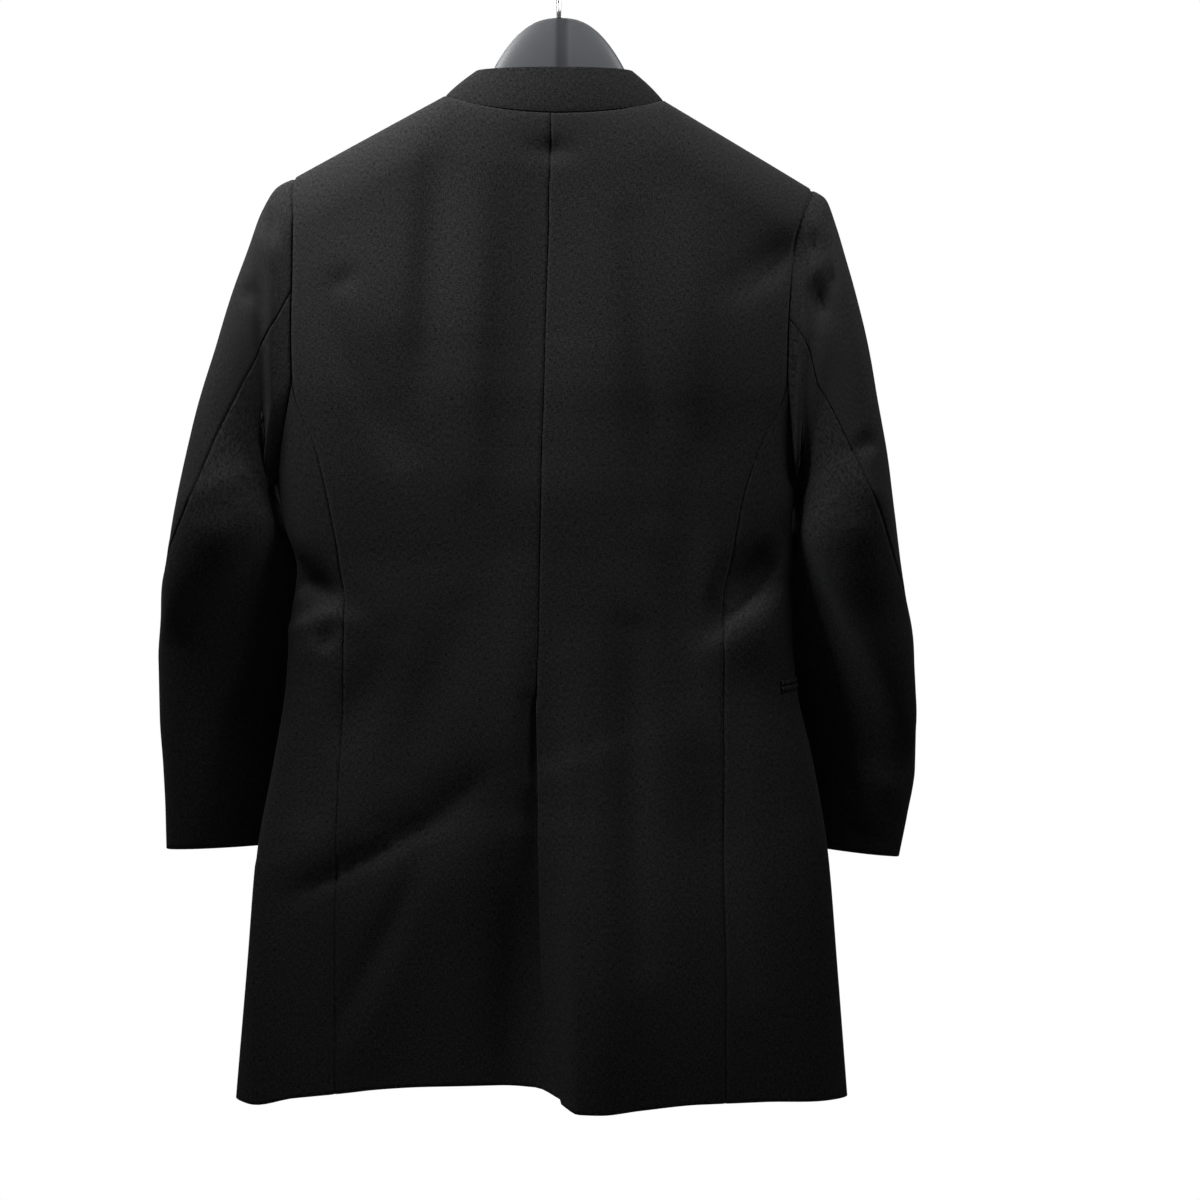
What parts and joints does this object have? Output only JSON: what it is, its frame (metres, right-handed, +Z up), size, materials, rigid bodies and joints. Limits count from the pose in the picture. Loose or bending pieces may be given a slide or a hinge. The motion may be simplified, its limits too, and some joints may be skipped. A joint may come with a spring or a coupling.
{
  "type": "tailored jacket on a hanger",
  "caption": "Long tailored jacket with a stand collar, buttoned front, slanted jetted pockets and centre vent, hanging flat on a moulded hanger with a wire hook.",
  "frame": {"origin": "top of the hook's bore, where the hook rests on its rail", "axes": "+Z up, +Y out of the jacket's back, +X towards the wearer's left"},
  "size_m": [0.6695, 0.1747, 1.0181],
  "materials": {
    "wool": "plain black worsted wool",
    "button": "satin black",
    "hanger_plastic": "satin dark grey",
    "hook_steel": "polished wire"
  },
  "bodies": {
    "root": {"back_left": "wool", "back_right": "wool", "side_left": "wool", "side_right": "wool", "front_left": "wool", "front_right": "wool", "stand_collar": "wool", "top_sleeve_left": "wool", "top_sleeve_right": "wool", "under_sleeve_left": "wool", "under_sleeve_right": "wool", "pocket_jet_upper_left": "wool", "pocket_jet_lower_left": "wool", "pocket_jet_upper_right": "wool", "pocket_jet_lower_right": "wool", "button_1": "button", "button_2": "button", "button_3": "button", "button_4": "button", "button_5": "button", "hanger": "hanger_plastic", "hook": "hook_steel"}
  },
  "joints": []
}
